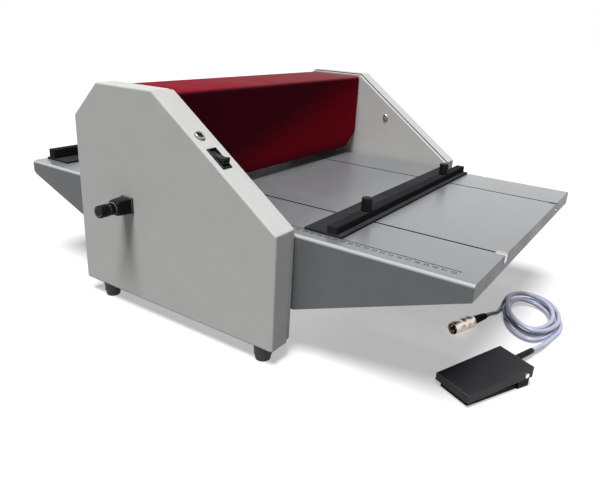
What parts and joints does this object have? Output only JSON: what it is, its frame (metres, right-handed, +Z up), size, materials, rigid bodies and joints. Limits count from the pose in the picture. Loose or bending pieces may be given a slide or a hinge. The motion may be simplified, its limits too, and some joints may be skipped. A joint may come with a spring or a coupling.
{
  "type": "desktop paper creasing machine",
  "caption": "Desktop machine that presses a crease into card: folded tables with sliding stops, a driven blade under a hinged red cover, and a foot switch on a cord.",
  "frame": {"origin": "bottom centre of the machine with its foot switch, at the undersides of the feet, without the cord, its coil and its plug", "axes": "+X from the operator's left to right along the crease, +Y from the operator to the back along the paper's way, +Z up"},
  "size_m": [0.59, 0.7783, 0.302],
  "materials": {
    "housing_coat": "fine textured powder coat, satin",
    "table_coat": "fine textured powder coat, satin",
    "black_coat": "satin black",
    "black_anodised": "black anodised, satin",
    "plated_steel": "zinc plated, satin",
    "ground_steel": "ground",
    "bright_steel": "bright",
    "bearing_bronze": "sintered bronze",
    "motor_case": "black enamel",
    "circuit_board": "solder-masked board",
    "black_plastic": "moulded, matt",
    "gloss_black": "moulded, glossy",
    "red_clear": "polished see-through red acrylic",
    "foot_rubber": "moulded, matt",
    "cord_sleeve": "soft grey sleeve, matt"
  },
  "bodies": {
    "frame": {"left_frame_plate": "housing_coat", "right_frame_plate": "housing_coat", "left_side_cover": "housing_coat", "right_side_cover": "housing_coat", "rubber_feet": "foot_rubber", "frame_screws": "plated_steel", "tie_bars": "plated_steel", "front_table": "table_coat", "rear_table": "table_coat", "slot_end_clips": "plated_steel", "belly_pan": "plated_steel", "matrix_bed": "ground_steel", "guide_gibs": "ground_steel", "shaft_bushes": "bearing_bronze", "gear_motor": "motor_case", "motor_bracket": "plated_steel", "control_board": "circuit_board", "power_inlet": "black_plastic", "pedal_socket": "black_plastic", "switch_frame": "gloss_black", "button_collar": "bright_steel", "rear_guard": "black_coat", "cover_hinge_pins": "plated_steel", "pedal_base": "black_plastic", "pedal_pin": "bright_steel", "pedal_spring": "plated_steel", "pedal_microswitch": "black_plastic", "pedal_gland": "black_plastic", "cord_tail": "cord_sleeve", "cord_coil": "cord_sleeve", "cord_lead": "cord_sleeve", "plug_shell": "bright_steel", "plug_boot": "black_plastic"},
    "beam": {"creasing_beam": "ground_steel", "yoke_plates": "plated_steel", "beam_screws": "plated_steel", "blade_clamp": "ground_steel", "crease_blade": "ground_steel"},
    "shaft": {"drive_shaft": "ground_steel", "eccentric_discs": "ground_steel", "driven_gear": "ground_steel"},
    "pinion": {"drive_pinion": "ground_steel"},
    "matrix": {"matrix_bar": "ground_steel", "pull_handle": "black_coat"},
    "lock_knob": {"handle_knob": "black_plastic"},
    "cover": {"red_cover": "red_clear", "cover_hinge_blocks": "black_plastic"},
    "front_stop": {"front_stop_plate": "black_coat", "front_stop_rail": "black_anodised", "front_slide_guides": "plated_steel"},
    "front_clamp_left": {"front_knob_left": "black_plastic"},
    "front_clamp_right": {"front_knob_right": "black_plastic"},
    "rear_stop": {"rear_stop_plate": "black_coat", "rear_stop_rail": "black_anodised", "rear_slide_guides": "plated_steel"},
    "rear_clamp_left": {"rear_knob_left": "black_plastic"},
    "rear_clamp_right": {"rear_knob_right": "black_plastic"},
    "rocker": {"rocker_button": "gloss_black"},
    "button": {"push_button": "gloss_black"},
    "pedal": {"pedal_plate": "black_coat"}
  },
  "joints": [
    {"name": "beam_slide", "type": "slide", "parent": "frame", "child": "beam", "axis": [0, 0, 1], "range_m": [-0.00688, 0]},
    {"name": "shaft_turn", "type": "hinge", "parent": "frame", "child": "shaft", "pos_m": [0.02355, 0.11282, 0.095], "axis": [1, 0, 0], "range_deg": [-70, 0]},
    {"name": "pinion_turn", "type": "hinge", "parent": "frame", "child": "pinion", "pos_m": [0.02355, 0.07517, 0.095], "axis": [1, 0, 0], "range_deg": [0, 180]},
    {"name": "matrix_slide", "type": "slide", "parent": "frame", "child": "matrix", "axis": [-1, 0, 0], "range_m": [0, 0.45]},
    {"name": "lock_knob_turn", "type": "hinge", "parent": "matrix", "child": "lock_knob", "pos_m": [-0.27975, 0.11282, 0.1515], "axis": [-1, 0, 0], "range_deg": [0, 180]},
    {"name": "cover_hinge", "type": "hinge", "parent": "frame", "child": "cover", "pos_m": [0.02355, 0.16282, 0.288], "axis": [-1, 0, 0], "range_deg": [0, 100]},
    {"name": "front_stop_slide", "type": "slide", "parent": "frame", "child": "front_stop", "axis": [0, 1, 0], "range_m": [-0.15, 0.19]},
    {"name": "rear_stop_slide", "type": "slide", "parent": "frame", "child": "rear_stop", "axis": [0, 1, 0], "range_m": [-0.15, 0.004]},
    {"name": "front_clamp_left_turn", "type": "hinge", "parent": "front_stop", "child": "front_clamp_left", "pos_m": [-0.10345, -0.15968, 0.1606], "axis": [0, 0, 1], "range_deg": [0, 180]},
    {"name": "rear_clamp_left_turn", "type": "hinge", "parent": "rear_stop", "child": "rear_clamp_left", "pos_m": [-0.10345, 0.36732, 0.1606], "axis": [0, 0, 1], "range_deg": [0, 180]},
    {"name": "front_clamp_right_turn", "type": "hinge", "parent": "front_stop", "child": "front_clamp_right", "pos_m": [0.15705, -0.15968, 0.1606], "axis": [0, 0, 1], "range_deg": [0, 180]},
    {"name": "rear_clamp_right_turn", "type": "hinge", "parent": "rear_stop", "child": "rear_clamp_right", "pos_m": [0.15705, 0.36732, 0.1606], "axis": [0, 0, 1], "range_deg": [0, 180]},
    {"name": "rocker_tilt", "type": "hinge", "parent": "frame", "child": "rocker", "pos_m": [-0.23395, -0.03062, 0.23196], "axis": [1, 0, 0], "range_deg": [0, 18]},
    {"name": "button_press", "type": "slide", "parent": "frame", "child": "button", "axis": [0, 0.5851, -0.811], "range_m": [0, 0.0025], "stiffness_N_per_m": 400, "springref_m": -0.002},
    {"name": "pedal_press", "type": "hinge", "parent": "frame", "child": "pedal", "pos_m": [-0.08417, -0.35809, 0.01701], "axis": [-0.4446, -0.8957, 0], "range_deg": [0, 3], "stiffness_Nm_per_rad": 12, "springref_deg": -2.86, "deforming": ["pedal_spring"]}
  ],
  "couplings": [
    {"joint": "shaft_turn", "follows": "beam_slide", "rad_per_m": 177.5},
    {"joint": "pinion_turn", "follows": "beam_slide", "rad_per_m": -456.43}
  ]
}
